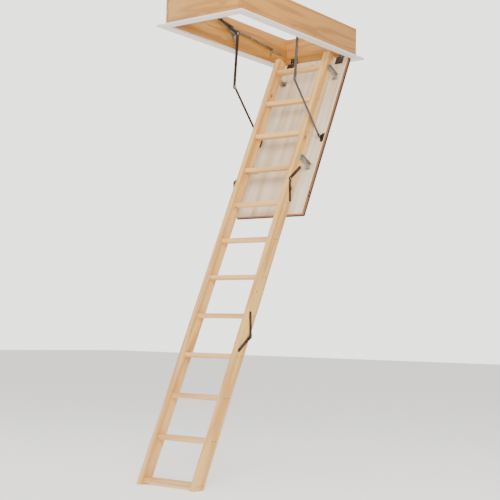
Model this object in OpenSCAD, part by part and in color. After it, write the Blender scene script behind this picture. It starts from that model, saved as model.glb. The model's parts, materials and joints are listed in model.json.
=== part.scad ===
// Folding attic ladder: a wooden box frame in the ceiling, an insulated hatch that hangs from one end of it,
// and three hinged wooden sections that stand on the floor.
// Origin: centre of the ceiling opening, in the plane of the ceiling. X runs along the treads,
// Y runs along the opening with the hatch hinge at its +Y end, and Z is up.
// Everything on the hatch is drawn in the hatch's own frame: y = -(distance down from the hinge line),
// z = height above the hinge line, and on_hatch() then swings it open.

/* [Room] */
// Height of the room, from floor to ceiling
room_h = 2800; // [2500:10:3000]
// Slope of the open hatch and the ladder, from the horizontal
open_angle = 65; // [62:0.5:70]

/* [Frame] */
// Clear width of the opening inside the frame
opening_w = 548; // [520:2:700]
// Clear length of the opening inside the frame
opening_l = 1268; // [1240:2:1500]
// Thickness of the frame boards
board_t = 20; // [16:1:28]
// Height of the frame boards above the ceiling
board_h = 200; // [140:5:260]
// Height of the lower plank of the hinge end board
plank_h = 118; // [80:1:130]
// Width of the ceiling trim
trim_w = 62; // [45:1:90]
// Thickness of the ceiling trim
trim_t = 12; // [8:1:16]

/* [Hatch] */
// Gap between the hatch and the frame on each long side
hatch_side_gap = 6; // [4:0.5:10]
// Gap between the hatch's free end and the frame
hatch_end_gap = 5; // [4:0.5:10]
// Thickness of the outer face panel
outer_panel_t = 3; // [2:0.5:5]
// Height of the seal layer
seal_h = 12; // [8:1:16]
// Width of the seal strip
seal_w = 15; // [10:1:24]
// How far the seal stands out past the hatch's edge
seal_proud = 2.5; // [1:0.5:3]
// Height of the wooden edging
edging_h = 21; // [15:1:24]
// Width of the wooden edging bars
edging_w = 38; // [25:1:60]
// Thickness of the attic face panel
attic_panel_t = 3; // [2:0.5:5]

/* [Ladder] */
// Overall width over the stiles
ladder_w = 440; // [360:2:460]
// Thickness of a stile
stile_t = 38; // [25:1:45]
// Depth of a stile, front to back
stile_d = 76; // [70:1:84]
// Gap between the hatch's attic face and the back of the ladder
standoff = 80; // [70:1:95]
// Distance between treads, along the stile
tread_pitch = 268.5; // [240:0.5:285]
// Height of the lowest tread's middle, along the stile
first_tread = 45; // [38:1:80]
// Thickness of a tread
tread_t = 30; // [20:1:34]
// Depth of a tread, front to back
tread_d = 66; // [50:1:70]
// Rounding of a tread's front edges
tread_round = 9; // [4:0.5:10]
// How far a tread's end is housed in the stile
housing = 10; // [6:1:16]
// Distance from the top tread's middle up to the stile's end
stile_top = 102; // [90:1:110]
// Distance from a tread's middle down to the section joint below it
joint_drop = 114; // [95:1:125]

/* [Section hinges] */
// Width of a hinge leaf
leaf_w = 21; // [18:1:26]
// Thickness of a hinge leaf
leaf_t = 3; // [2:0.5:4]
// Length of a hinge leaf from the pin
leaf_l = 140; // [110:1:160]
// Distance of the hinge pin outside the stile's edge
pin_out = 3; // [2:0.5:5]
// Diameter of a hinge pin
hinge_pin_d = 6; // [5:0.5:8]

/* [Hatch hinge] */
// Distance of the hinge line inside the end board
hinge_in = 5; // [5:0.5:6]
// Height of the hinge line above the underside of the trim
hinge_up = 5; // [5:0.5:6]
// Diameter of the hatch hinge's knuckle
knuckle_d = 9; // [8:0.5:9]
// Width of one hatch hinge
butt_w = 60; // [45:1:90]
// Distance of each hatch hinge from the middle
butt_x = 205; // [150:1:220]

/* [Arms] */
// Arm pivot on the frame: distance towards the hinge end
arm_y = 18; // [0:1:40]
// Arm pivot on the frame: height above the ceiling
arm_z = 98; // [85:1:130]
// Elbow with the ladder open: distance towards the hinge end
elbow_y = -6; // [-20:1:10]
// Elbow with the ladder open: depth below the ceiling
elbow_drop = 272; // [250:1:300]
// Crank end with the ladder open: distance from the pivot towards the free end
crank_y = 200; // [160:1:220]
// Crank end with the ladder open: height above the pivot
crank_z = 56; // [40:1:80]
// Width of the arm
arm_w = 25; // [22:1:32]
// Thickness of the arm
arm_t = 4; // [3:0.5:5]
// Link pivot on the hatch: distance down from the hinge line
link_down = 675; // [640:1:700]
// Link pivot on the hatch: height above the hinge line
link_up = 58; // [50:1:70]
// Width of the link at its slot
link_w = 27; // [26:1:34]
// Thickness of the link
link_t = 3; // [2.5:0.5:4]
// Width of the link's slot
slot_w = 16; // [16:0.5:18]
// Length of travel of the elbow pin in the slot
slot_travel = 123; // [120:1:135]

/* [Springs] */
// Inner end of the spring rod with the ladder open: distance from the arm pivot towards the free end
rod_y = 40; // [20:1:60]
// Inner end of the spring rod with the ladder open: height above the arm pivot
rod_z = 28; // [20:1:60]
// Spring anchor on the frame: distance towards the hinge end
anchor_y = 441; // [400:1:480]
// Spring anchor on the frame: height above the ceiling
anchor_z = 88; // [60:1:120]
// Outer diameter of the spring tube
tube_d = 16; // [14:0.5:20]
// Wall of the spring tube
tube_wall = 1.2; // [1:0.1:2]
// Diameter of the spring rod
rod_d = 7; // [6:0.5:8]
// Length of rod that shows with the ladder open
rod_shown = 52; // [46:1:70]
// Length of the compressed spring
spring_l = 150; // [100:1:220]

/* [Lock] */
// Distance of the lock from the hinge line
lock_down = 1105; // [1000:1:1150]
// Distance of the lock's spindle from the middle
lock_x = 236; // [200:1:240]
// Travel of the lock's bolt
bolt_travel = 14; // [10:1:16]

/* [Fits] */
// Radial clearance of a pin in its hole
pin_fit = 0.06; // [0.03:0.01:0.1]
// Clearance of a piece let into another
inlay_fit = 0.1; // [0.05:0.05:0.2]
// Gap between the butting ends of two sections
joint_gap = 0.6; // [0.4:0.1:1]
// Gap between parts that slide or turn past each other
side_gap = 0.3; // [0.3:0.1:0.6]

/* [Hidden] */
$fn = 48;
eps = 0.01;
half_w = opening_w / 2;
half_l = opening_l / 2;
hinge_y = half_l - hinge_in;
hinge_z = hinge_up - trim_t;
// the hatch's layers, as heights above the hinge line
outer_b = -hinge_up;
seal_b = outer_b + outer_panel_t;
edging_b = seal_b + seal_h;
attic_b = edging_b + edging_h;
face_b = attic_b + attic_panel_t;
hatch_half = half_w - hatch_side_gap;
hatch_top = knuckle_d / 2 + 2;
hatch_end = opening_l - hinge_in - hatch_end_gap;
// the ladder, as heights above the hinge line and distances down from it
half_ladder = ladder_w / 2;
back_b = face_b + standoff;
front_b = back_b + stile_d;
mid_b = (back_b + front_b) / 2;
floor_drop = room_h + hinge_z;
foot_front = (floor_drop + front_b * cos(open_angle)) / sin(open_angle);
foot_back = (floor_drop + back_b * cos(open_angle)) / sin(open_angle);
treads = [for (i = [0 : 11]) foot_front - first_tread - tread_pitch * (11 - i)];
top_end = treads[0] - stile_top;
joint_1 = treads[3] + joint_drop;
joint_2 = treads[7] + joint_drop;
pin_1 = [-joint_1, front_b + pin_out];
pin_2 = [-joint_2, back_b - pin_out];
// how far a leaf's far end lies inside the stile's edge, and how far along the stile it then is
leaf_in = stile_d + pin_out - leaf_w / 2 - 2.5;
leaf_run = sqrt(leaf_l * leaf_l - leaf_in * leaf_in);
// layers across the width, from the ladder outwards
link_x = half_ladder + 18;
arm_x = link_x + link_t + 2;
tie_x = arm_x + arm_t + 2;
tube_x = half_w - 12;
plate_t = 3;
plate_x = half_w - plate_t;
// points of the side linkage
arm_at = [arm_y, arm_z];
elbow_at = [elbow_y, -elbow_drop];
crank_at = [arm_y - crank_y, arm_z + crank_z];
rod_at = [arm_y - rod_y, arm_z + rod_z];
anchor_at = [anchor_y, anchor_z];
link_on_hatch = [-link_down, link_up];
link_at = [
    hinge_y + link_on_hatch[0] * cos(open_angle) - link_on_hatch[1] * sin(open_angle),
    hinge_z + link_on_hatch[0] * sin(open_angle) + link_on_hatch[1] * cos(open_angle)
];
link_l = norm(elbow_at - link_at);
// the slot leans a little, so that the elbow pin stays near its middle over the whole travel
slot_lean = 0.41;
link_angle = atan2(elbow_at[1] - link_at[1], elbow_at[0] - link_at[0]) - slot_lean;
spring_angle = atan2(anchor_at[1] - rod_at[1], anchor_at[0] - rod_at[0]);
spring_run = norm(anchor_at - rod_at);
big_pin_r = 6;
pin_r = 4;
screw_r = 2;
screw_head_r = 4;
screw_head_h = 2.5;
screw_l = 44;

// ---- helpers ----

module on_hatch() {
    translate([0, hinge_y, hinge_z]) rotate([open_angle, 0, 0]) children();
}

module both_sides() {
    children();
    mirror([1, 0, 0]) children();
}

// a flat shape drawn in (y, z), as a plate from x to x + t
module plate(x, t) {
    translate([x, 0, 0]) rotate([90, 0, 90]) linear_extrude(t) children();
}

// a round pin along X, from x to x + l, at p = (y, z)
module pin(x, l, p, r) {
    translate([x, p[0], p[1]]) rotate([0, 90, 0]) cylinder(h = l, r = r);
}

// a flat bar with round ends between two points
module strap(p, q, w) {
    translate(p) rotate(atan2(q[1] - p[1], q[0] - p[0])) {
        translate([0, -w / 2]) square([norm(q - p), w]);
        circle(d = w);
        translate([norm(q - p), 0]) circle(d = w);
    }
}

// a flat bar from r0 to r1 along dir from p
module spoke(p, dir, r0, r1, w) {
    translate(p) rotate(atan2(dir[1], dir[0])) translate([r0, -w / 2]) square([r1 - r0, w]);
}

// a block from corner a to corner b
module block(a, b) {
    translate(a) cube(b - a);
}

// a rectangle with its two front corners rounded, centred, its front towards -x
module tread_shape(grow = 0) {
    d = tread_d + 2 * grow;
    t = tread_t + 2 * grow;
    r = tread_round + grow;
    translate([-d / 2 + r, -t / 2]) square([d - r, t]);
    translate([-d / 2, -t / 2 + r]) square([d, t - 2 * r]);
    for (s = [-1, 1]) translate([-d / 2 + r, s * (t / 2 - r)]) circle(r);
}

// ---- frame ----

// a countersunk wood screw along X, its head flush at x and pointing to the middle
module side_screw(x, p, grow = 0) {
    pin(x - screw_head_h, screw_head_h + grow, p, screw_head_r + grow);
    pin(x - screw_l - grow, screw_l + grow - screw_head_h, p, screw_r + grow);
}

corner_screws = [for (s = [-1, 1], z = [30, board_h - 30]) [s * (half_l + board_t / 2), z]];
fixing_holes = [for (s = [-1, 1]) [s * (half_l - 180), board_h - 45]];
plate_bolts = [arm_at + [-58, 44], arm_at + [-16, -2] * 1.2, arm_at + [14, -38]];
anchor_bolts = [anchor_at + [45, -5], anchor_at + [120, -8]];
plate_bolt_r = 3;

module side_board() {
    difference() {
        block([half_w, -half_l - board_t, 0], [half_w + board_t, half_l + board_t, board_h]);
        for (p = corner_screws) side_screw(half_w + board_t, p, pin_fit);
        for (p = fixing_holes) pin(half_w - 1, board_t + 2, p, 3.5);
        for (p = concat(plate_bolts, anchor_bolts)) pin(half_w - 1, 15, p, plate_bolt_r + pin_fit);
    }
}

module left_board() {
    color("peru") mirror([1, 0, 0]) side_board();
}

module right_board() {
    color("peru") difference() {
        side_board();
        translate(keeper_at) {
            block([-1, -keeper_l / 2, -keeper_h / 2] - [0, 1, 1] * inlay_fit,
                [keeper_t, keeper_l / 2, keeper_h / 2] + [0, 1, 1] * inlay_fit);
            block([0, -10, -8], [bolt_travel, 10, 8]);
        }
    }
}

// the end board at y = half_l, as planks between two heights
module end_plank(z0, z1) {
    difference() {
        block([-half_w, half_l, z0], [half_w, half_l + board_t, z1]);
        both_sides() for (p = corner_screws) side_screw(half_w + board_t, p, pin_fit);
        both_sides() for (z = [20, 38], x = [-14, 14])
            translate([butt_x + x, half_l - 1, z]) rotate([-90, 0, 0]) cylinder(h = 15, r = screw_r + pin_fit);
    }
}

module hinge_end_board() {
    color("peru") {
        end_plank(0, plank_h);
        end_plank(plank_h, board_h);
    }
}

module far_end_board() {
    color("peru") difference() {
        block([-half_w, -half_l - board_t, 0], [half_w, -half_l, board_h]);
        both_sides() for (p = corner_screws) side_screw(half_w + board_t, p, pin_fit);
    }
}

// one mitred length of trim along a side of length l, its inner edge on y = 0
module trim_piece(l) {
    translate([0, 0, -trim_t]) linear_extrude(trim_t)
        polygon([[-l / 2, 0], [l / 2, 0], [l / 2 + trim_w, trim_w], [-l / 2 - trim_w, trim_w]]);
}

module trim() {
    color("ivory") for (side = [0, 1]) rotate(180 * side) {
        translate([0, half_l, 0]) trim_piece(opening_w);
        rotate(90) translate([0, half_w, 0]) trim_piece(opening_l);
    }
}

// a bolt with a round head on the inside of a plate at x
module plate_bolt(x, p) {
    pin(x - 2, 2, p, 6);
    pin(x, plate_t + 12, p, plate_bolt_r);
}

module frame_screws() {
    color("silver") both_sides() {
        for (p = corner_screws) side_screw(half_w + board_t, p);
        for (p = plate_bolts) plate_bolt(plate_x, p);
        for (p = anchor_bolts) plate_bolt(plate_x, p);
        for (z = [20, 38], x = [-14, 14]) translate([butt_x + x, half_l - butt_leaf_t, z]) rotate([-90, 0, 0]) {
            cylinder(h = butt_leaf_t + 12, r = screw_r);
            translate([0, 0, -1.2]) cylinder(h = 1.2, r = screw_head_r);
        }
    }
}

module pivot_plates() {
    color("silver") both_sides() plate(plate_x, plate_t) difference() {
        union() {
            strap(plate_bolts[0], plate_bolts[2], 34);
            strap(arm_at, plate_bolts[1], 36);
        }
        for (p = plate_bolts) translate(p) circle(plate_bolt_r + pin_fit);
        translate(arm_at) circle(big_pin_r + pin_fit);
    }
}

module spring_anchors() {
    color("silver") both_sides() plate(plate_x, plate_t) difference() {
        union() {
            strap(anchor_at, anchor_bolts[0], 30);
            strap(anchor_bolts[0], anchor_bolts[1], 24);
            strap(anchor_at, anchor_at + [-6, -42], 18);
        }
        for (p = anchor_bolts) translate(p) circle(plate_bolt_r + pin_fit);
        translate(anchor_at) circle(pin_r + pin_fit);
    }
}

// ---- hatch hinge ----

butt_leaf_t = 3;
butt_pin_r = 2.5;
knuckle_split = butt_w / 6;

// knuckles of one hinge: outer ones when keep is 1, the middle one when keep is 0
module knuckles(keep, grow = 0) {
    spans = keep == 1
        ? [[-butt_w / 2, -knuckle_split - side_gap], [knuckle_split + side_gap, butt_w / 2]]
        : [[-knuckle_split, knuckle_split]];
    for (s = spans) translate([butt_x + s[0] - grow, 0, 0]) rotate([0, 90, 0])
        cylinder(h = s[1] - s[0] + 2 * grow, r = knuckle_d / 2 + grow);
}

module pin_bore() {
    translate([butt_x - butt_w / 2 - 1, 0, 0]) rotate([0, 90, 0])
        cylinder(h = butt_w + 2, r = butt_pin_r + pin_fit);
}

module frame_hinge_leaves() {
    color("dimgray") both_sides() translate([0, hinge_y, hinge_z]) difference() {
        union() {
            knuckles(1);
            block([butt_x - butt_w / 2, hinge_in - butt_leaf_t, 0],
                [butt_x + butt_w / 2, hinge_in - eps, 54 - hinge_z]);
        }
        pin_bore();
        knuckles(0, side_gap + 0.2);
        for (z = [20, 38], x = [-14, 14]) translate([butt_x + x, 0, z - hinge_z]) rotate([-90, 0, 0])
            cylinder(h = 10, r = screw_r + pin_fit);
    }
}

module hatch_hinge_leaves() {
    a0 = knuckle_d / 2 - 1;
    color("dimgray") on_hatch() both_sides() difference() {
        union() {
            knuckles(0);
            block([butt_x - butt_w / 2, -hatch_top + eps, -1], [butt_x + butt_w / 2, -a0, face_b + butt_leaf_t]);
            block([butt_x - butt_w / 2, -62, face_b], [butt_x + butt_w / 2, -a0, face_b + butt_leaf_t]);
        }
        pin_bore();
        knuckles(1, side_gap + 0.2);
    }
}

module hatch_hinge_pins() {
    color("silver") both_sides() translate([0, hinge_y, hinge_z])
        pin(butt_x - butt_w / 2 - 1, butt_w + 2, [0, 0], butt_pin_r);
}

// ---- hatch ----

// a rectangular ring lying in the hatch's plane, between two heights
module hatch_ring(out, w, b0, b1) {
    difference() {
        block([-hatch_half - out, -hatch_end - out, b0], [hatch_half + out, -hatch_top, b1]);
        block([-hatch_half + w, -hatch_end + w, b0 - 1], [hatch_half - w, -hatch_top - w, b1 + 1]);
    }
}

// the room the lock needs in the hatch
module lock_room(grow) {
    translate([0, -lock_down, bolt_b]) {
        block([lock_x - 26, -20, -8] - [1, 1, 1] * grow, [hatch_half + 5 * grow, 20, 8] + [0, 1, 1] * grow);
        translate([lock_x, 0, -8]) mirror([0, 0, 1]) cylinder(h = 30, r = spindle_r + 4 * grow);
    }
}

module edging() {
    color("burlywood") on_hatch() difference() {
        hatch_ring(0, edging_w, edging_b, attic_b);
        lock_room(inlay_fit);
        both_sides() link_bracket_bores();
    }
}

module attic_panel() {
    color("oldlace") on_hatch() difference() {
        block([-hatch_half, -hatch_end, attic_b], [hatch_half, -hatch_top, face_b]);
        both_sides() link_bracket_bores();
        both_sides() standoff_bores();
    }
}

module insulation() {
    color("whitesmoke") on_hatch() difference() {
        union() {
            block([-hatch_half + seal_w, -hatch_end + seal_w, seal_b],
                [hatch_half - seal_w, -hatch_top - seal_w, edging_b]);
            block([-hatch_half + edging_w, -hatch_end + edging_w, edging_b],
                [hatch_half - edging_w, -hatch_top - edging_w, attic_b]);
        }
        lock_room(inlay_fit);
        both_sides() standoff_bores();
    }
}

module outer_panel() {
    color("white") on_hatch() difference() {
        block([-hatch_half, -hatch_end, outer_b], [hatch_half, -hatch_top, seal_b]);
        lock_room(inlay_fit);
    }
}

module seal() {
    color("saddlebrown") on_hatch() difference() {
        hatch_ring(seal_proud, seal_w, seal_b, edging_b);
        lock_room(inlay_fit);
    }
}

// ---- lock ----

bolt_b = (edging_b + attic_b) / 2;
bolt_w = 14;
bolt_h = 10;
spindle_r = 4;
keeper_l = 56;
keeper_h = 26;
keeper_t = 2;
keeper_at = [half_w, hinge_y - lock_down, hinge_z + bolt_b];

module lock_case() {
    color("dimgray") on_hatch() translate([0, -lock_down, bolt_b]) difference() {
        block([lock_x - 26, -20, -8], [hatch_half, 20, 8]);
        block([lock_x - 24, -bolt_w / 2 - side_gap, -bolt_h / 2 - side_gap],
            [hatch_half + 1, bolt_w / 2 + side_gap, bolt_h / 2 + side_gap]);
        translate([lock_x, 0, -9]) cylinder(h = 9, r = spindle_r + pin_fit);
    }
}

module lock_bolt() {
    color("silver") on_hatch() translate([0, -lock_down, bolt_b]) difference() {
        block([lock_x - 22, -bolt_w / 2, -bolt_h / 2], [hatch_half - 0.5, bolt_w / 2, bolt_h / 2]);
        block([lock_x - spindle_r - bolt_travel - 1, -bolt_w, -bolt_h / 2 - 1],
            [lock_x + spindle_r + 1, bolt_w / 2 - 2, 2]);
    }
}

module lock_ring() {
    color("dimgray") on_hatch() translate([lock_x, -lock_down, 0]) {
        translate([0, 0, outer_b - 6]) cylinder(h = bolt_b - outer_b + 6, r = spindle_r);
        translate([0, 0, outer_b - 3]) cylinder(h = 3 - eps, r = 13);
        translate([0, 0, outer_b - 16]) rotate([90, 0, 0]) rotate_extrude() translate([11, 0]) circle(2.2);
    }
}

module lock_keeper() {
    color("silver") translate(keeper_at) difference() {
        block([eps, -keeper_l / 2, -keeper_h / 2], [keeper_t, keeper_l / 2, keeper_h / 2]);
        block([-1, -9, -7], [keeper_t + 1, 9, 7]);
    }
}

// ---- brackets on the hatch ----

bracket_t = 2.5;
bracket_w = 42;
bracket_out = 14;
standoff_at = [treads[0] + 6, treads[3] - 74];

module link_bracket_bores() {
    for (a = [-24, 24]) translate([arm_x + 12, -link_down + a, face_b - 15]) cylinder(h = 16, r = screw_r + pin_fit);
}

module standoff_bores() {
    for (a = standoff_at, s = [-11, 11]) translate([half_ladder - 12, -a + s, face_b - 15])
        cylinder(h = 16, r = screw_r + pin_fit);
}

module link_brackets() {
    color("dimgray") on_hatch() both_sides() difference() {
        union() {
            block([arm_x, -link_down - 34, face_b], [arm_x + 22, -link_down + 34, face_b + bracket_t]);
            plate(arm_x, 3) {
                translate([-link_down - 22, face_b]) square([44, 8]);
                strap([-link_down, face_b + 6], link_on_hatch, 24);
            }
        }
        pin(arm_x - 1, 6, link_on_hatch, pin_r + pin_fit);
        for (a = [-24, 24]) translate([arm_x + 12, -link_down + a, face_b - 1])
            cylinder(h = 6, r = screw_r + pin_fit);
        block([arm_x - 1, -link_down - 40, face_b - 20], [arm_x + 30, -link_down + 40, face_b]);
    }
}

// a channel from the hatch's face up the outside of the stile, with a foot under the stile
module standoff_bracket(a) {
    top = back_b + 42;
    translate([half_ladder, -a, 0]) difference() {
        union() {
            block([0, -bracket_w / 2, face_b], [bracket_t, bracket_w / 2, top]);
            for (s = [-1, 1]) block([0, s * bracket_w / 2 - (s > 0 ? bracket_t : 0), face_b],
                [bracket_out, s * bracket_w / 2 + (s > 0 ? 0 : bracket_t), top - 6]);
            block([-26, -bracket_w / 2, face_b], [bracket_t, bracket_w / 2, face_b + bracket_t]);
        }
        for (s = [-11, 11]) translate([-12, s, face_b - 1]) cylinder(h = 6, r = screw_r + pin_fit);
        for (s = [-10, 10]) pin(-1, 6, [s, top - 16], screw_r + pin_fit);
    }
}

module standoff_brackets() {
    color("silver") on_hatch() both_sides() for (a = standoff_at) standoff_bracket(a);
}

// ---- ladder sections ----

// one stile as a flat shape, between two distances down the ladder
module stile_shape(a0, a1) {
    translate([-a1, back_b]) square([a1 - a0, stile_d]);
}

// where the screws of one tread go, as (y, z)
function tread_screws(a) = [for (s = [-15, 15]) [-a + s * cos(open_angle), mid_b - s * sin(open_angle)]];

module tread_at(a, x, l, grow = 0) {
    plate(x, l) translate([-a, mid_b]) rotate(-open_angle) tread_shape(grow);
}

// the right-hand stile of a section that holds the treads in list
module stile(a0, a1, list) {
    inner = half_ladder - stile_t;
    difference() {
        plate(inner, stile_t) stile_shape(a0, a1);
        for (a = list) {
            tread_at(a, inner - 1, housing + 1 + inlay_fit, inlay_fit);
            for (p = tread_screws(a)) side_screw(half_ladder, p, pin_fit);
        }
        leaf_bores();
    }
}

module section_treads(list) {
    inner = half_ladder - stile_t + housing;
    color("wheat") on_hatch() for (a = list) difference() {
        tread_at(a, -inner, 2 * inner);
        both_sides() for (p = tread_screws(a)) side_screw(half_ladder, p, pin_fit);
    }
}

module section_screws(list, leaf_points) {
    color("gray") on_hatch() both_sides() {
        for (a = list, p = tread_screws(a)) side_screw(half_ladder, p);
        for (p = leaf_points) {
            pin(half_ladder - 14, 14 + leaf_t, p, screw_r);
            pin(half_ladder + leaf_t, 1.6, p, screw_head_r);
        }
    }
}

upper_list = [for (i = [0 : 3]) treads[i]];
middle_list = [for (i = [4 : 7]) treads[i]];
lower_list = [for (i = [8 : 11]) treads[i]];

module upper_stile() {
    difference() {
        stile(top_end, joint_1 - joint_gap / 2, upper_list);
        // the top end is cut back behind and eased in front
        plate(0, ladder_w) {
            translate([-top_end, back_b]) rotate(-58) translate([0, -60]) square([80, 60]);
            translate([-top_end, front_b]) rotate(38) translate([-6, -2]) square([40, 30]);
        }
        for (p = top_holes) pin(half_ladder - stile_t - 1, stile_t + 2, p, 3);
        for (a = standoff_at, s = [-10, 10]) pin(half_ladder - 14, 15, [-a + s, back_b + 26], screw_r + pin_fit);
    }
}

top_holes = [[-top_end - 34, front_b - 18], [-top_end - 62, back_b + 22]];

module upper_left_stile() {
    color("wheat") on_hatch() mirror([1, 0, 0]) upper_stile();
}

module upper_right_stile() {
    color("wheat") on_hatch() upper_stile();
}

module upper_treads() {
    section_treads(upper_list);
}

module upper_screws() {
    section_screws(upper_list, leaf_points(pin_1, 1, -1));
    color("gray") on_hatch() both_sides() {
        for (a = standoff_at, s = [-11, 11]) translate([half_ladder - 12, -a + s, face_b - 12]) {
            cylinder(h = 12 + bracket_t, r = screw_r);
            translate([0, 0, 12 + bracket_t]) cylinder(h = 1.6, r = screw_head_r);
        }
        for (a = standoff_at, s = [-10, 10]) {
            pin(half_ladder - 12, 12 + bracket_t, [-a + s, back_b + 26], screw_r);
            pin(half_ladder + bracket_t, 1.6, [-a + s, back_b + 26], screw_head_r);
        }
        for (a = [-24, 24]) translate([arm_x + 12, -link_down + a, face_b - 12]) {
            cylinder(h = 12 + bracket_t, r = screw_r);
            translate([0, 0, 12 + bracket_t]) cylinder(h = 1.6, r = screw_head_r);
        }
    }
}

module middle_stile() {
    stile(joint_1 + joint_gap / 2, joint_2 - joint_gap / 2, middle_list);
}

module middle_left_stile() {
    color("wheat") on_hatch() mirror([1, 0, 0]) middle_stile();
}

module middle_right_stile() {
    color("wheat") on_hatch() middle_stile();
}

module middle_treads() {
    section_treads(middle_list);
}

module middle_screws() {
    section_screws(middle_list, concat(leaf_points(pin_1, -1, -1), leaf_points(pin_2, 1, 1)));
}

// the foot is cut level, so that it stands flat on the floor
module lower_stile() {
    difference() {
        stile(joint_2 + joint_gap / 2, foot_front, lower_list);
        plate(0, ladder_w) polygon([
            [-foot_front, front_b],
            [-foot_back, back_b],
            [-foot_back - 200 * cos(open_angle), back_b - 200 * sin(open_angle)],
            [-foot_front - 200, front_b]
        ]);
    }
}

module lower_left_stile() {
    color("wheat") on_hatch() mirror([1, 0, 0]) lower_stile();
}

module lower_right_stile() {
    color("wheat") on_hatch() lower_stile();
}

module lower_treads() {
    section_treads(lower_list);
}

module lower_screws() {
    section_screws(lower_list, leaf_points(pin_2, -1, 1));
}

// ---- section hinges ----

// far end of a leaf: up (1) or down (-1) the ladder, towards the front (1) or the back (-1)
function leaf_end(p, along, across) = p + [along * leaf_run, across * leaf_in];

// screw points of a leaf, as shares of the way from the pin
function leaf_points(p, along, across) =
    [for (k = [0.36, 0.62, 0.93]) p + k * (leaf_end(p, along, across) - p)];

module leaf_bores() {
    for (p = concat(leaf_points(pin_1, 1, -1), leaf_points(pin_1, -1, -1),
            leaf_points(pin_2, 1, 1), leaf_points(pin_2, -1, 1)))
        pin(half_ladder - 15, 16, p, screw_r + pin_fit);
}

// a leaf on the stile's outer face; its eye lies on the face, or outside the other leaf's eye
module leaf(p, along, across, outer_eye) {
    end = leaf_end(p, along, across);
    dir = (end - p) / norm(end - p);
    eye_x = half_ladder + (outer_eye ? leaf_t + side_gap : 0);
    joggle = leaf_w + 2.5;
    difference() {
        union() {
            plate(eye_x, leaf_t) {
                translate(p) circle(d = leaf_w);
                spoke(p, dir, 0, joggle + 6, leaf_w);
            }
            plate(half_ladder, leaf_t) {
                spoke(p, dir, outer_eye ? joggle : 0, leaf_l, leaf_w);
                translate(end) circle(d = leaf_w);
            }
            if (outer_eye) plate(half_ladder, 2 * leaf_t + side_gap) spoke(p, dir, joggle, joggle + 6, leaf_w);
        }
        pin(half_ladder - 1, 12, p, hinge_pin_d / 2 + pin_fit);
        if (outer_eye) pin(half_ladder - 1, leaf_t + 1 + side_gap, p, leaf_w / 2 + side_gap);
        for (q = leaf_points(p, along, across)) pin(half_ladder - 1, 12, q, screw_r + pin_fit);
    }
}

module upper_hinge_top_leaves() {
    color("dimgray") on_hatch() both_sides() leaf(pin_1, 1, -1, false);
}

module upper_hinge_low_leaves() {
    color("dimgray") on_hatch() both_sides() leaf(pin_1, -1, -1, true);
}

module lower_hinge_top_leaves() {
    color("dimgray") on_hatch() both_sides() leaf(pin_2, 1, 1, false);
}

module lower_hinge_low_leaves() {
    color("dimgray") on_hatch() both_sides() leaf(pin_2, -1, 1, true);
}

module section_pins(p) {
    color("silver") on_hatch() both_sides() {
        pin(half_ladder + side_gap, 2 * leaf_t + side_gap, p, hinge_pin_d / 2);
        pin(half_ladder + 2 * (leaf_t + side_gap), 2, p, hinge_pin_d);
    }
}

module upper_hinge_pins() {
    section_pins(pin_1);
}

module lower_hinge_pins() {
    section_pins(pin_2);
}

// ---- side arms and links ----

module arm() {
    difference() {
        plate(arm_x, arm_t) union() {
            strap(arm_at, elbow_at, arm_w);
            strap(arm_at, crank_at, arm_w - 3);
            translate(arm_at) circle(arm_w / 2 + 5);
        }
        pin(arm_x - 1, arm_t + 2, arm_at, big_pin_r + pin_fit);
        pin(arm_x - 1, arm_t + 2, elbow_at, pin_r + pin_fit);
        pin(arm_x - 1, arm_t + 2, crank_at, pin_r + pin_fit);
    }
}

module left_arm() {
    color("darkslategray") mirror([1, 0, 0]) arm();
}

module right_arm() {
    color("darkslategray") arm();
}

module arm_pivot_pins() {
    color("silver") both_sides() {
        pin(arm_x - side_gap, plate_x + plate_t - arm_x, arm_at, big_pin_r);
        pin(arm_x - side_gap - 1.4, 1.4, arm_at, big_pin_r + 4);
        pin(arm_x + arm_t + side_gap, plate_x - arm_x - arm_t - 2 * side_gap, arm_at, big_pin_r + 3);
    }
}

module elbow_pins() {
    color("silver") both_sides() {
        pin(link_x - side_gap, arm_x + arm_t + side_gap - link_x, elbow_at, pin_r);
        pin(link_x - side_gap - 1.6, 1.6, elbow_at, slot_w / 2 + 3);
        pin(link_x + link_t + side_gap, arm_x - link_x - link_t - side_gap, elbow_at, pin_r + 3);
        pin(arm_x + arm_t, 1.4, elbow_at, pin_r + 2.5);
    }
}

module crank_pins() {
    color("silver") both_sides() {
        pin(arm_x, tie_x + link_t + side_gap - arm_x, crank_at, pin_r);
        pin(arm_x - 1.4, 1.4, crank_at, pin_r + 3);
        pin(tie_x + link_t + side_gap, 1.2, crank_at, pin_r + 3);
    }
}

module link() {
    far = link_at + (link_l + 6) * [cos(link_angle), sin(link_angle)];
    near = link_at + (link_l - slot_travel) * [cos(link_angle), sin(link_angle)];
    tip = link_at + link_l * [cos(link_angle), sin(link_angle)];
    difference() {
        plate(link_x, link_t) union() {
            strap(link_at, near, 20);
            strap(near, tip, link_w);
        }
        plate(link_x - 1, link_t + 2) strap(near, tip, slot_w);
        pin(link_x - 1, link_t + 2, link_at, pin_r + pin_fit);
    }
}

module left_link() {
    color("dimgray") mirror([1, 0, 0]) link();
}

module right_link() {
    color("dimgray") link();
}

module link_pins() {
    color("silver") both_sides() {
        pin(link_x - side_gap, arm_x + 3 + 2 * side_gap - link_x, link_at, pin_r);
        pin(link_x - side_gap - 1.4, 1.4, link_at, pin_r + 3);
        pin(link_x + link_t + side_gap, arm_x - link_x - link_t - 2 * side_gap, link_at, pin_r + 3);
        pin(arm_x + 3 + side_gap, 1.4, link_at, pin_r + 3);
    }
}

// ---- springs ----

// draws its children along the spring's line, x = 0 at the rod's inner end
module along_spring() {
    translate([tube_x, rod_at[0], rod_at[1]]) rotate([spring_angle, 0, 0]) rotate([0, 0, 90]) children();
}

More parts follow.
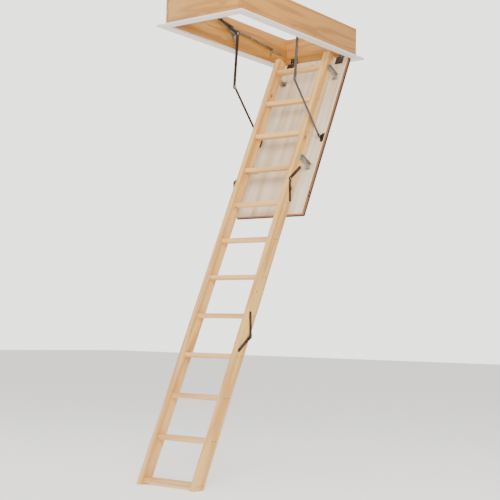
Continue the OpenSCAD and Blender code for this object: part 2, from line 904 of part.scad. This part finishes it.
module line_x(x, l, r) {
    translate([x, 0, 0]) rotate([0, 90, 0]) cylinder(h = l, r = r);
}

eye_r = 9;
eye_t = 10;
cap_t = 5;

// an eye across the line at x, its hole along the treads
module spring_eye(x) {
    translate([x, eye_t / 2, 0]) rotate([90, 0, 0]) cylinder(h = eye_t, r = eye_r);
}

module spring_eye_hole(x) {
    translate([x, eye_t, 0]) rotate([90, 0, 0]) cylinder(h = 2 * eye_t, r = pin_r + pin_fit);
}

module spring_tube() {
    along_spring() difference() {
        union() {
            line_x(rod_shown, spring_run - rod_shown - eye_r + 2, tube_d / 2);
            spring_eye(spring_run);
        }
        line_x(rod_shown + cap_t, spring_run - rod_shown - 2 * cap_t - eye_r, tube_d / 2 - tube_wall);
        line_x(rod_shown - 1, cap_t + 2, rod_d / 2 + pin_fit);
        spring_eye_hole(spring_run);
    }
}

module left_spring_tube() {
    color("silver") mirror([1, 0, 0]) spring_tube();
}

module right_spring_tube() {
    color("silver") spring_tube();
}

module rod() {
    piston_x = rod_shown + cap_t + spring_l + 1;
    along_spring() difference() {
        union() {
            line_x(0, piston_x + 6, rod_d / 2);
            line_x(piston_x, 6, tube_d / 2 - tube_wall - side_gap);
            spring_eye(0);
        }
        spring_eye_hole(0);
    }
}

module left_rod() {
    color("silver") mirror([1, 0, 0]) rod();
}

module right_rod() {
    color("silver") rod();
}

// a compression spring round the rod, between the tube's cap and the rod's piston
module springs() {
    wire_r = 0.8;
    coil_r = (rod_d / 2 + tube_d / 2 - tube_wall) / 2;
    turns = 12;
    color("gray") both_sides() along_spring() translate([rod_shown + cap_t + 0.5, 0, 0]) rotate([0, 90, 0])
        linear_extrude(spring_l - 0.5, twist = -360 * turns, slices = 12 * turns, $fn = 6)
            translate([coil_r, 0]) circle(wire_r);
}

module anchor_pins() {
    color("silver") both_sides() {
        pin(tube_x - eye_t / 2 - 2, plate_x + plate_t - tube_x + eye_t / 2 + 2 - side_gap, anchor_at, pin_r);
        pin(tube_x - eye_t / 2 - 3.4, 1.4, anchor_at, pin_r + 3);
    }
}

module tie_pins() {
    color("silver") both_sides() {
        pin(tie_x - side_gap, tube_x + eye_t / 2 + side_gap - tie_x + side_gap, rod_at, pin_r);
        pin(tie_x - side_gap - 1.2, 1.2, rod_at, pin_r + 2);
        pin(tube_x + eye_t / 2 + side_gap, 1.4, rod_at, pin_r + 2);
    }
}

// the crank pin is loose in the tie bar, since the linkage's ratios are not quite constant
crank_play = 2.8;

module tie_bar() {
    difference() {
        plate(tie_x, link_t) strap(crank_at, rod_at, 20);
        pin(tie_x - 1, link_t + 2, crank_at, pin_r + crank_play);
        pin(tie_x - 1, link_t + 2, rod_at, pin_r + pin_fit);
    }
}

module left_tie_bar() {
    color("darkslategray") mirror([1, 0, 0]) tie_bar();
}

module right_tie_bar() {
    color("darkslategray") tie_bar();
}

left_board();
right_board();
hinge_end_board();
far_end_board();
trim();
frame_screws();
pivot_plates();
spring_anchors();
frame_hinge_leaves();
lock_keeper();
hatch_hinge_pins();
edging();
attic_panel();
insulation();
outer_panel();
seal();
hatch_hinge_leaves();
lock_case();
link_brackets();
standoff_brackets();
lock_ring();
lock_bolt();
upper_left_stile();
upper_right_stile();
upper_treads();
upper_screws();
upper_hinge_top_leaves();
upper_hinge_pins();
middle_left_stile();
middle_right_stile();
middle_treads();
middle_screws();
upper_hinge_low_leaves();
lower_hinge_top_leaves();
lower_hinge_pins();
lower_left_stile();
lower_right_stile();
lower_treads();
lower_screws();
lower_hinge_low_leaves();
arm_pivot_pins();
left_arm();
right_arm();
elbow_pins();
crank_pins();
link_pins();
left_link();
right_link();
anchor_pins();
left_spring_tube();
right_spring_tube();
springs();
left_rod();
right_rod();
tie_pins();
left_tie_bar();
right_tie_bar();
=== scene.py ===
import json
import math

import bpy
from mathutils import Matrix, Vector

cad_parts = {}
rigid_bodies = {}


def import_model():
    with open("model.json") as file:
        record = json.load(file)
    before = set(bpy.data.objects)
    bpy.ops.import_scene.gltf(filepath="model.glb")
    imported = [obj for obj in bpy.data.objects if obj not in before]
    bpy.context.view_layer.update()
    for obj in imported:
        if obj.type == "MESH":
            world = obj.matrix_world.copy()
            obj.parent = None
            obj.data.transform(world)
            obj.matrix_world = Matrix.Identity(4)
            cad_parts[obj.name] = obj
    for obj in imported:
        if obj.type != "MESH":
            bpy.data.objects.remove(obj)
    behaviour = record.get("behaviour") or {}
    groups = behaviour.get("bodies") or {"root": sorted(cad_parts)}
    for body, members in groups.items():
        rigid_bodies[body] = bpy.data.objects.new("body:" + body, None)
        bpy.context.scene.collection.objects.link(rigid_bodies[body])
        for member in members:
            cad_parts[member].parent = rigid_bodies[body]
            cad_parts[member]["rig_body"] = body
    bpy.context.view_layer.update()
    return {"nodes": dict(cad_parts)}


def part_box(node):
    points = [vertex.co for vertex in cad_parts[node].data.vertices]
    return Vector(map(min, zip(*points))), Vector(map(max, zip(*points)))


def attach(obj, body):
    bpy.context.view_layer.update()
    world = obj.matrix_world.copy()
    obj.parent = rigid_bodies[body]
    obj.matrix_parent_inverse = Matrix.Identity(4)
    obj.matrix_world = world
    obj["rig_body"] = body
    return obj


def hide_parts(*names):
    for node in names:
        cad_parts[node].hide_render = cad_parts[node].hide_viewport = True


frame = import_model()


MM = 0.001
SLOPE = math.radians(65.0)
FLOOR_Z = -2.8
TREAD_DEPTH = 66 * MM
TREAD_THICK = 30 * MM
TREAD_NOSE = 9 * MM
TREAD_BACK = 2 * MM
STILE_EDGE = 2.5 * MM
LINK_WIDTH = 20 * MM
LINK_EDGE = 0.6 * MM
SMOOTH_BELOW = math.radians(35)
SECTIONS = ("upper", "middle", "lower")

nodes = frame["nodes"]
body_of_node = {n: o["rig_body"] for n, o in nodes.items()}


# ---------------------------------------------------------------- colours

def srgb(code):
    """A linear colour from a painter's hex code."""
    out = []
    for i in (0, 2, 4):
        c = int(code[i:i + 2], 16) / 255.0
        out.append(c / 12.92 if c <= 0.04045 else ((c + 0.055) / 1.055) ** 2.4)
    return (out[0], out[1], out[2], 1.0)


# ---------------------------------------------------------------- node helpers

class Sheet:
    """Adds nodes to one tree and joins them up."""

    def __init__(self, tree):
        self.tree = tree

    def add(self, kind, **settings):
        node = self.tree.nodes.new(kind)
        for key, value in settings.items():
            setattr(node, key, value)
        return node

    def join(self, source, target):
        self.tree.links.new(source, target)

    def feed(self, value, socket):
        if hasattr(value, "is_linked") or hasattr(value, "links"):
            self.join(value, socket)
        else:
            socket.default_value = value

    def math(self, operation, a, b=0.0, clamp=False):
        node = self.add("ShaderNodeMath", operation=operation, use_clamp=clamp)
        self.feed(a, node.inputs[0])
        self.feed(b, node.inputs[1])
        return node.outputs[0]

    def noise(self, vector, scale, detail=2.0, rough=0.5):
        node = self.add("ShaderNodeTexNoise")
        self.join(vector, node.inputs["Vector"])
        node.inputs["Scale"].default_value = scale
        node.inputs["Detail"].default_value = detail
        node.inputs["Roughness"].default_value = rough
        return node.outputs["Fac"]

    def stretch(self, vector, scale, rotation=(0, 0, 0), location=(0, 0, 0)):
        node = self.add("ShaderNodeMapping")
        self.join(vector, node.inputs["Vector"])
        node.inputs["Scale"].default_value = scale
        node.inputs["Rotation"].default_value = rotation
        node.inputs["Location"].default_value = location
        return node.outputs["Vector"]

    def band(self, value, low, high, out_low=0.0, out_high=1.0):
        node = self.add("ShaderNodeMapRange")
        self.join(value, node.inputs["Value"])
        limits = {"From Min": low, "From Max": high, "To Min": out_low, "To Max": out_high}
        for name, number in limits.items():
            node.inputs[name].default_value = number
        return node.outputs["Result"]

    def blend(self, factor, a, b):
        node = self.add("ShaderNodeMix", data_type="RGBA")
        self.feed(factor, node.inputs["Factor"])
        self.feed(a, node.inputs["A"])
        self.feed(b, node.inputs["B"])
        return node.outputs["Result"]

    def bump(self, height, strength, distance):
        node = self.add("ShaderNodeBump")
        self.join(height, node.inputs["Height"])
        node.inputs["Strength"].default_value = strength
        node.inputs["Distance"].default_value = distance
        return node.outputs["Normal"]


def new_group(name, inputs, outputs):
    tree = bpy.data.node_groups.new(name, "ShaderNodeTree")
    for label, kind, value in inputs:
        socket = tree.interface.new_socket(label, in_out="INPUT", socket_type=kind)
        if value is not None:
            socket.default_value = value
    for label, kind in outputs:
        tree.interface.new_socket(label, in_out="OUTPUT", socket_type=kind)
    sheet = Sheet(tree)
    return tree, sheet, sheet.add("NodeGroupInput"), sheet.add("NodeGroupOutput")


def build_sawn_grain():
    """Growth rings, fibres and knots of a sawn board whose length runs along Y."""
    tree, s, given, gives = new_group(
        "sawn_grain",
        [("Vector", "NodeSocketVector", None), ("Rings", "NodeSocketFloat", 130.0),
         ("Wander", "NodeSocketFloat", 5.0), ("Knots", "NodeSocketFloat", 0.05)],
        [("Rings", "NodeSocketFloat"), ("Fibre", "NodeSocketFloat"), ("Knot", "NodeSocketFloat"),
         ("Tone", "NodeSocketFloat")])
    vector = given.outputs["Vector"]
    long_way = s.stretch(vector, (1.0, 0.07, 1.0))
    wander = s.noise(long_way, 9.0, 2.0)
    split = s.add("ShaderNodeSeparateXYZ")
    s.join(vector, split.inputs[0])
    across = s.math("MULTIPLY", split.outputs["X"], given.outputs["Rings"])
    through = s.math("MULTIPLY", split.outputs["Z"], s.math("MULTIPLY", given.outputs["Rings"], 0.6))
    drift = s.math("MULTIPLY", wander, s.math("MULTIPLY", given.outputs["Wander"], 6.0))
    cells = s.add("ShaderNodeTexVoronoi", feature="F1")
    s.join(s.stretch(vector, (1.0, 0.55, 1.0), location=(0.37, 0.11, 0.23)), cells.inputs["Vector"])
    cells.inputs["Scale"].default_value = 10.0
    near = cells.outputs["Distance"]
    pull = s.band(near, 0.0, 0.22, 3.0, 0.0)
    phase = s.math("ADD", s.math("ADD", across, through), s.math("ADD", drift, pull))
    rings = s.math("MULTIPLY_ADD", s.math("SINE", phase), 0.5)
    rings.node.inputs[2].default_value = 0.5
    s.join(s.math("POWER", rings, 1.7), gives.inputs["Rings"])
    s.join(s.noise(s.stretch(vector, (1.0, 0.018, 1.0)), 420.0, 3.0, 0.6), gives.inputs["Fibre"])
    core = s.math("SUBTRACT", 1.0, s.math("DIVIDE", near, given.outputs["Knots"]), clamp=True)
    s.join(s.math("MULTIPLY", core, 1.6, clamp=True), gives.inputs["Knot"])
    s.join(s.noise(s.stretch(vector, (1.0, 0.3, 1.0)), 3.0, 1.0), gives.inputs["Tone"])
    return tree


def build_handling():
    """Faint smudges and dust that lie over any finish."""
    tree, s, given, gives = new_group(
        "handling_marks",
        [("Vector", "NodeSocketVector", None), ("Size", "NodeSocketFloat", 9.0)],
        [("Smudge", "NodeSocketFloat"), ("Speck", "NodeSocketFloat")])
    broad = s.add("ShaderNodeTexNoise")
    s.join(given.outputs["Vector"], broad.inputs["Vector"])
    s.join(given.outputs["Size"], broad.inputs["Scale"])
    broad.inputs["Detail"].default_value = 4.0
    s.join(s.band(broad.outputs["Fac"], 0.42, 0.68), gives.inputs["Smudge"])
    fine = s.noise(given.outputs["Vector"], 700.0, 2.0)
    s.join(s.band(fine, 0.5, 0.78), gives.inputs["Speck"])
    return tree


SAWN_GRAIN = build_sawn_grain()
HANDLING = build_handling()


def node_of_type(tree, kind):
    return next(n for n in tree.nodes if n.type == kind)


def start_finish(name):
    material = bpy.data.materials.new(name)
    material.use_nodes = True
    s = Sheet(material.node_tree)
    shader = node_of_type(s.tree, "BSDF_PRINCIPLED")
    place = s.add("ShaderNodeTexCoord").outputs["Object"]
    return material, s, shader, place


def use_group(s, tree, **values):
    node = s.add("ShaderNodeGroup", node_tree=tree)
    for label, value in values.items():
        s.feed(value, node.inputs[label])
    return node


def timber(name, along, pale, dark, knot_colour, rings=130.0, wander=5.0, knots=0.05,
           gloss=0.42, contrast=0.7, offset=(0.0, 0.0, 0.0), bump=0.25):
    """Varnished softwood with its grain along the given way: 'x', 'y' or 'slope'."""
    turns = {"x": (0, 0, math.radians(90)), "y": (0, 0, 0), "slope": (-SLOPE, 0, 0)}
    material, s, shader, place = start_finish(name)
    vector = s.stretch(place, (1, 1, 1), rotation=turns[along], location=offset)
    grain = use_group(s, SAWN_GRAIN, Vector=vector, Rings=rings, Wander=wander, Knots=knots)
    marks = use_group(s, HANDLING, Vector=place, Size=6.0)
    line = s.math("MULTIPLY", grain.outputs["Rings"], contrast)
    colour = s.blend(line, pale, dark)
    fibre = s.band(grain.outputs["Fibre"], 0.35, 0.7, 0.0, 0.3)
    colour = s.blend(fibre, colour, tuple(0.75 * v for v in dark[:3]) + (1.0,))
    tone = s.band(grain.outputs["Tone"], 0.3, 0.7, 0.0, 0.28)
    colour = s.blend(tone, colour, tuple(min(1.0, 1.12 * v) for v in pale[:3]) + (1.0,))
    colour = s.blend(grain.outputs["Knot"], colour, knot_colour)
    s.join(colour, shader.inputs["Base Color"])
    rough = s.math("ADD", s.math("MULTIPLY", marks.outputs["Smudge"], 0.12), gloss)
    s.join(s.math("ADD", rough, s.math("MULTIPLY", grain.outputs["Fibre"], 0.1)), shader.inputs["Roughness"])
    raised = s.math("MULTIPLY", grain.outputs["Fibre"], 0.6)
    height = s.math("SUBTRACT", raised, s.math("MULTIPLY", line, 0.3))
    s.join(s.bump(height, bump, 0.0006), shader.inputs["Normal"])
    shader.inputs["Coat Weight"].default_value = 0.25
    shader.inputs["Coat Roughness"].default_value = 0.3
    return material


def metal(name, base, bright, rough=0.38, metallic=1.0, smudge=0.35, lines=None):
    """Rolled or plated steel, mottled, with fine marks; lines stretches the marks one way."""
    material, s, shader, place = start_finish(name)
    marks = use_group(s, HANDLING, Vector=place, Size=28.0)
    colour = s.blend(s.math("MULTIPLY", marks.outputs["Smudge"], smudge), base, bright)
    scratch = s.noise(s.stretch(place, lines or (1.0, 1.0, 1.0)), 260.0, 4.0, 0.65)
    colour = s.blend(s.band(scratch, 0.55, 0.8, 0.0, 0.5), colour, bright)
    s.join(colour, shader.inputs["Base Color"])
    shader.inputs["Metallic"].default_value = metallic
    spread = s.math("MULTIPLY", s.math("SUBTRACT", scratch, 0.5), 0.4)
    s.join(s.math("ADD", spread, rough, clamp=True), shader.inputs["Roughness"])
    s.join(s.bump(scratch, 0.12, 0.0003), shader.inputs["Normal"])
    return material


def streaked_panel(name, pale, dark, strength=0.4, rough=0.45):
    """A painted panel whose streaks run down the slope of the open hatch."""
    material, s, shader, place = start_finish(name)
    turned = s.stretch(place, (1, 1, 1), rotation=(-SLOPE, 0, 0))
    streak = s.noise(s.stretch(turned, (1.0, 0.03, 1.0)), 24.0, 3.0, 0.55)
    wide = s.noise(s.stretch(turned, (1.0, 0.12, 1.0)), 7.0, 2.0)
    marks = use_group(s, HANDLING, Vector=place, Size=5.0)
    amount = s.math("ADD", s.band(streak, 0.38, 0.66, 0.0, strength), s.band(wide, 0.4, 0.62, 0.0, 0.4))
    colour = s.blend(amount, pale, dark)
    colour = s.blend(s.math("MULTIPLY", marks.outputs["Speck"], 0.12), colour, dark)
    s.join(colour, shader.inputs["Base Color"])
    worn = s.math("MULTIPLY", marks.outputs["Smudge"], 0.15)
    s.join(s.math("ADD", worn, rough), shader.inputs["Roughness"])
    s.join(s.bump(streak, 0.08, 0.0004), shader.inputs["Normal"])
    return material


def soft_coat(name, pale, dark, rough, mottle=40.0, depth=0.2):
    """Paint, rubber or foam with a fine pebbled surface."""
    material, s, shader, place = start_finish(name)
    marks = use_group(s, HANDLING, Vector=place, Size=mottle / 4.0)
    pebble = s.noise(place, mottle * 12.0, 3.0, 0.6)
    colour = s.blend(s.band(pebble, 0.35, 0.75, 0.0, 0.35), pale, dark)
    colour = s.blend(s.math("MULTIPLY", marks.outputs["Smudge"], 0.3), colour, dark)
    s.join(colour, shader.inputs["Base Color"])
    worn = s.math("MULTIPLY", marks.outputs["Smudge"], 0.12)
    s.join(s.math("ADD", worn, rough), shader.inputs["Roughness"])
    s.join(s.bump(pebble, depth, 0.0004), shader.inputs["Normal"])
    return material


PINE_PALE = srgb("EFBE6C")
PINE_DARK = srgb("BE7A30")
KNOT = srgb("6E3C14")

FINISHES = {
    "stile_left": timber("pine_left_stiles", "slope", PINE_PALE, PINE_DARK, KNOT, 95.0, 4.0, 0.1),
    "stile_right": timber("pine_right_stiles", "slope", srgb("EFBE6B"), srgb("BF7C30"), KNOT,
                          110.0, 5.0, 0.11, offset=(0.31, 0.4, 0.0)),
    "tread": timber("pine_treads", "x", srgb("F2C478"), srgb("C98A40"), KNOT, 120.0, 4.5, 0.1),
    "side_board": timber("plywood_side_boards", "y", srgb("CB9140"), srgb("985E20"), srgb("6B3F1C"),
                         60.0, 6.0, 0.03, gloss=0.5),
    "end_board": timber("plywood_end_boards", "x", srgb("CF9646"), srgb("A06626"), srgb("6B3F1C"),
                        60.0, 6.0, 0.03, gloss=0.5),
    "edging": timber("hatch_edging_wood", "slope", srgb("A66E34"), srgb("7A4A1E"), KNOT, 140.0, 4.0, 0.02,
                     gloss=0.6),
    "attic_face": streaked_panel("cream_attic_face", srgb("F0E4CE"), srgb("CDB48C"), 0.75),
    "room_face": streaked_panel("white_room_face", srgb("F0ECE5"), srgb("DCD6CC"), 0.15, 0.35),
    "trim": soft_coat("satin_trim_paint", srgb("EAE3DC"), srgb("D8CFC6"), 0.42, 30.0, 0.06),
    "seal": soft_coat("brown_seal", srgb("3E200C"), srgb("241206"), 0.62, 50.0, 0.4),
    "foam": soft_coat("white_foam", srgb("F2F1EC"), srgb("DDDBD4"), 0.8, 60.0, 0.6),
    "bronze": metal("bronze_brown_steel", srgb("3B3029"), srgb("8A7C69"), 0.4, 0.75, 0.25),
    # painted light: a lighter grey copy of the bronze steel, for the lit near-side arm and link
    "bronze_painted_lit": metal("bronze_steel_painted_lit", srgb("6A635A"), srgb("A39B8E"), 0.4, 0.85, 0.3),
    "zinc": metal("zinc_plate", srgb("A7A49B"), srgb("D6D3C9"), 0.33, 0.95, 0.45),
    "bright": metal("bright_tube_steel", srgb("8B867D"), srgb("CFCBC2"), 0.24, 1.0, 0.3, (1.0, 0.08, 1.0)),
    "screw": metal("yellow_zinc_screws", srgb("4A3A24"), srgb("8A7448"), 0.42, 0.6, 0.4),
    "coil": metal("oiled_spring_wire", srgb("3A3A3C"), srgb("7C7C80"), 0.35, 1.0, 0.3),
}


# ---------------------------------------------------------------- modelling helpers

def nothing_selected():
    if bpy.context.object and bpy.context.object.mode != "OBJECT":
        bpy.ops.object.mode_set(mode="OBJECT")
    bpy.ops.object.select_all(action="DESELECT")


def take(obj):
    nothing_selected()
    obj.select_set(True)
    bpy.context.view_layer.objects.active = obj


def settle(obj):
    """Puts the piece's place into its mesh, so that its object is at the origin."""
    take(obj)
    bpy.ops.object.transform_apply(location=True, rotation=True, scale=True)


def pick_edges(obj, test):
    """Selects the edges whose two ends pass the test, in edit mode."""
    bpy.ops.object.mode_set(mode="EDIT")
    bpy.ops.mesh.select_mode(type="EDGE")
    bpy.ops.mesh.select_all(action="DESELECT")
    bpy.ops.object.mode_set(mode="OBJECT")
    for edge in obj.data.edges:
        a, b = (obj.data.vertices[i].co for i in edge.vertices)
        edge.select = test(a, b)
    bpy.ops.object.mode_set(mode="EDIT")


def finish_piece(obj, finish, node):
    """Smooths the piece, gives it its finish, and hands it over in the node's place."""
    take(obj)
    bpy.ops.object.shade_smooth_by_angle(angle=SMOOTH_BELOW)
    obj.data.materials.clear()
    obj.data.materials.append(FINISHES[finish])
    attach(obj, body_of_node[node])
    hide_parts(node)
    return obj


def eased(node, finish, width, segments):
    """The node's own form with its sharp edges broken, as sanding, sawing or stamping leaves them."""
    nothing_selected()
    obj = bpy.data.objects.new(node + "_eased", nodes[node].data.copy())
    bpy.context.scene.collection.objects.link(obj)
    for key in list(obj.keys()):
        del obj[key]
    take(obj)
    bpy.ops.object.mode_set(mode="EDIT")
    bpy.ops.mesh.select_all(action="SELECT")
    bpy.ops.mesh.remove_doubles(threshold=0.00002)
    bpy.ops.mesh.dissolve_limited(angle_limit=math.radians(0.5))
    bpy.ops.object.mode_set(mode="OBJECT")
    bevel = obj.modifiers.new("eased_edges", "BEVEL")
    bevel.width = width
    bevel.segments = segments
    bevel.limit_method = "ANGLE"
    bevel.angle_limit = math.radians(40)
    bevel.use_clamp_overlap = True
    bpy.ops.object.modifier_apply(modifier=bevel.name)
    return finish_piece(obj, finish, node)


def tread_set(node, name):
    """Four treads: each a bar with its two front edges rounded and its two back edges broken."""
    low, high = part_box(node)
    step = (high - low - Vector((0, TREAD_DEPTH, TREAD_THICK))) / 3
    first = Vector((0, high.y - TREAD_DEPTH / 2, high.z - TREAD_THICK / 2))
    nothing_selected()
    bpy.ops.mesh.primitive_cube_add(size=1, location=first)
    bar = bpy.context.object
    bar.scale = (high.x - low.x, TREAD_DEPTH, TREAD_THICK)
    settle(bar)
    for face_y, rounding, segments in (
        (first.y - TREAD_DEPTH / 2, TREAD_NOSE, 7),
        (first.y + TREAD_DEPTH / 2, TREAD_BACK, 3),
    ):
        pick_edges(bar, lambda a, b: max(abs(a.y - face_y), abs(b.y - face_y), abs(a.z - b.z)) < MM)
        bpy.ops.mesh.bevel(offset=rounding, segments=segments, profile=0.5)
    bpy.ops.object.mode_set(mode="OBJECT")
    bars = [bar]
    for i in (1, 2, 3):
        nothing_selected()
        copy = bar.copy()
        copy.data = bar.data.copy()
        bpy.context.scene.collection.objects.link(copy)
        take(copy)
        bpy.ops.transform.translate(value=(0, -step.y * i, -step.z * i))
        settle(copy)
        bars.append(copy)
    nothing_selected()
    for b in bars:
        b.select_set(True)
    bpy.context.view_layer.objects.active = bar
    bpy.ops.object.join()
    bar.name = name
    settle(bar)
    return finish_piece(bar, "tread", node)


def middle_of(node):
    low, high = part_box(node)
    return (low + high) / 2


def link_bar(side, finish):
    """One side's link: a flat bar with round ends, from its hatch bracket up to the elbow rivet."""
    node = side + "_link"
    low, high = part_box(node)
    thick = high.x - low.x
    foot = middle_of("link_pins")
    elbow = middle_of("elbow_pins")
    foot.x = elbow.x = (low.x + high.x) / 2
    run = elbow - foot
    nothing_selected()
    bpy.ops.mesh.primitive_cube_add(size=1, location=(foot + elbow) / 2)
    bar = bpy.context.object
    bar.scale = (thick, LINK_WIDTH, run.length + LINK_WIDTH)
    bar.rotation_euler = (-math.atan2(run.y, run.z), 0, 0)
    settle(bar)
    pick_edges(bar, lambda a, b: abs(a.x - b.x) > thick / 2)
    bpy.ops.mesh.bevel(offset=LINK_WIDTH * 0.49, segments=8, profile=0.5)
    bpy.ops.mesh.select_all(action="SELECT")
    bpy.ops.mesh.remove_doubles(threshold=0.00005)
    bpy.ops.object.mode_set(mode="OBJECT")
    edge = bar.modifiers.new("rolled_edge", "BEVEL")
    edge.width = LINK_EDGE
    edge.segments = 2
    edge.limit_method = "ANGLE"
    edge.angle_limit = math.radians(50)
    bpy.ops.object.modifier_apply(modifier=edge.name)
    bar.name = side + "_link_bar"
    return finish_piece(bar, finish, node)


# ---------------------------------------------------------------- the ladder

for section in SECTIONS:
    tread_set(section + "_treads", section + "_tread_bars")
    eased(section + "_left_stile", "stile_left", STILE_EDGE, 3)
    eased(section + "_right_stile", "stile_right", STILE_EDGE, 3)

# Node, finish, width of the broken edge in mm, and its segments.
EASED = [
    ("left_board", "side_board", 1.0, 2), ("right_board", "side_board", 1.0, 2),
    ("hinge_end_board", "end_board", 1.0, 2), ("far_end_board", "end_board", 1.0, 2),
    ("trim", "trim", 3.0, 3), ("pivot_plates", "zinc", 0.6, 2), ("spring_anchors", "zinc", 0.6, 2),
    ("frame_hinge_leaves", "bronze", 0.6, 2), ("hatch_hinge_leaves", "bronze", 0.6, 2),
    ("lock_keeper", "zinc", 0.4, 2), ("edging", "edging", 0.8, 2), ("attic_panel", "attic_face", 0.6, 2),
    ("outer_panel", "room_face", 0.8, 2), ("seal", "seal", 2.2, 3),
    ("lock_case", "bronze", 0.5, 2), ("link_brackets", "bronze", 0.6, 2),
    ("standoff_brackets", "zinc", 0.6, 2), ("lock_bolt", "zinc", 0.6, 2),
    ("upper_hinge_top_leaves", "bronze", 0.7, 2), ("upper_hinge_low_leaves", "bronze", 0.7, 2),
    ("lower_hinge_top_leaves", "bronze", 0.7, 2), ("lower_hinge_low_leaves", "bronze", 0.7, 2),
    # the right arm takes the lighter copy of the bronze steel: painted light on the near side
    ("left_arm", "bronze", 0.9, 3), ("right_arm", "bronze_painted_lit", 0.9, 3),
    ("left_tie_bar", "bronze", 0.7, 2), ("right_tie_bar", "bronze", 0.7, 2),
    ("left_spring_tube", "bright", 0.8, 3), ("right_spring_tube", "bright", 0.8, 3),
    ("left_rod", "bright", 0.8, 3), ("right_rod", "bright", 0.8, 3),
    ("arm_pivot_pins", "zinc", 0.6, 3), ("elbow_pins", "zinc", 0.7, 3), ("crank_pins", "zinc", 0.6, 3),
    ("link_pins", "zinc", 0.6, 3), ("upper_hinge_pins", "zinc", 0.9, 3), ("lower_hinge_pins", "zinc", 0.9, 3),
]
for node, finish, width, segments in EASED:
    eased(node, finish, width * MM, segments)

# Nodes kept as they are in the CAD, with the finish of each.
AS_BUILT = {
    "insulation": "foam", "springs": "coil", "frame_screws": "zinc", "upper_screws": "screw",
    "middle_screws": "screw", "lower_screws": "screw", "hatch_hinge_pins": "zinc", "lock_ring": "bronze",
    "anchor_pins": "zinc", "tie_pins": "zinc",
}
link_bar("left", "bronze")
# the right link takes the lighter copy of the bronze steel too: painted light on the near side
link_bar("right", "bronze_painted_lit")
FINISH_OF = {n: f for n, f, w, k in EASED}
FINISH_OF.update(left_link="bronze", right_link="bronze_painted_lit")
FINISH_OF.update(AS_BUILT)
for section in SECTIONS:
    FINISH_OF[section + "_treads"] = "tread"
    FINISH_OF[section + "_left_stile"] = "stile_left"
    FINISH_OF[section + "_right_stile"] = "stile_right"
for node, finish in FINISH_OF.items():
    mesh = nodes[node].data
    mesh.materials.clear()
    mesh.materials.append(FINISHES[finish])
for node in AS_BUILT:
    take(nodes[node])
    bpy.ops.object.shade_smooth_by_angle(angle=SMOOTH_BELOW)
nothing_selected()


# ---------------------------------------------------------------- floor, light and camera

bpy.ops.mesh.primitive_plane_add(size=60, location=(0, 0, FLOOR_Z - 0.5 * MM))
floor = bpy.context.object
floor.name = "studio_floor"
floor.data.materials.append(soft_coat("pale_floor", srgb("F4F3F1"), srgb("EFEDEA"), 0.75, 8.0, 0.02))
glow = node_of_type(floor.data.materials[0].node_tree, "BSDF_PRINCIPLED")
glow.inputs["Emission Color"].default_value = (1.0, 0.99, 0.975, 1.0)
glow.inputs["Emission Strength"].default_value = 0.55

world = bpy.data.worlds.new("pale_studio")
bpy.context.scene.world = world
world.use_nodes = True
sky = node_of_type(world.node_tree, "BACKGROUND")
sky.inputs["Color"].default_value = (1.0, 0.985, 0.96, 1.0)
seen = world.node_tree.nodes.new("ShaderNodeLightPath").outputs["Is Camera Ray"]
power = world.node_tree.nodes.new("ShaderNodeMapRange")
power.inputs["To Min"].default_value = 0.85
power.inputs["To Max"].default_value = 2.6
world.node_tree.links.new(seen, power.inputs["Value"])
world.node_tree.links.new(power.outputs["Result"], sky.inputs["Strength"])


def soft_light(name, place, aim, size, watts, tint=(1.0, 1.0, 1.0)):
    bpy.ops.object.light_add(type="AREA", location=place)
    lamp = bpy.context.object
    lamp.name = name
    lamp.data.size = size
    lamp.data.energy = watts
    lamp.data.color = tint
    lamp.rotation_euler = (Vector(aim) - Vector(place)).to_track_quat("-Z", "Y").to_euler()
    return lamp


soft_light("key_light", (3.6, -4.2, 1.6), (0, -0.2, -1.1), 2.4, 330, (1.0, 0.97, 0.92))
soft_light("fill_light", (-4.2, -3.0, 0.2), (0, -0.2, -1.2), 3.5, 90, (0.95, 0.97, 1.0))
soft_light("box_light", (0.3, 0.2, 2.4), (0, 0, 0), 1.6, 60)

CAMERA_PLACE = (4.212, -5.731, -1.902)
CAMERA_LENS = 79.4
CAMERA_TURN = math.radians(36.883)
CAMERA_TIP = math.radians(4.293)
CAMERA_ROLL = math.radians(1.283)

bpy.ops.object.camera_add(location=CAMERA_PLACE)
camera = bpy.context.object
camera.name = "view_camera"
camera.data.sensor_width = 36.0
camera.data.lens = CAMERA_LENS
ahead = Vector((
    -math.sin(CAMERA_TURN) * math.cos(CAMERA_TIP),
    math.cos(CAMERA_TURN) * math.cos(CAMERA_TIP),
    math.sin(CAMERA_TIP),
))
level = Vector((math.cos(CAMERA_TURN), math.sin(CAMERA_TURN), 0.0))
above = level.cross(ahead)
right = math.cos(CAMERA_ROLL) * level + math.sin(CAMERA_ROLL) * above
up = right.cross(ahead)
camera.rotation_euler = Matrix((right, up, -ahead)).transposed().to_euler()
bpy.context.scene.camera = camera
nothing_selected()
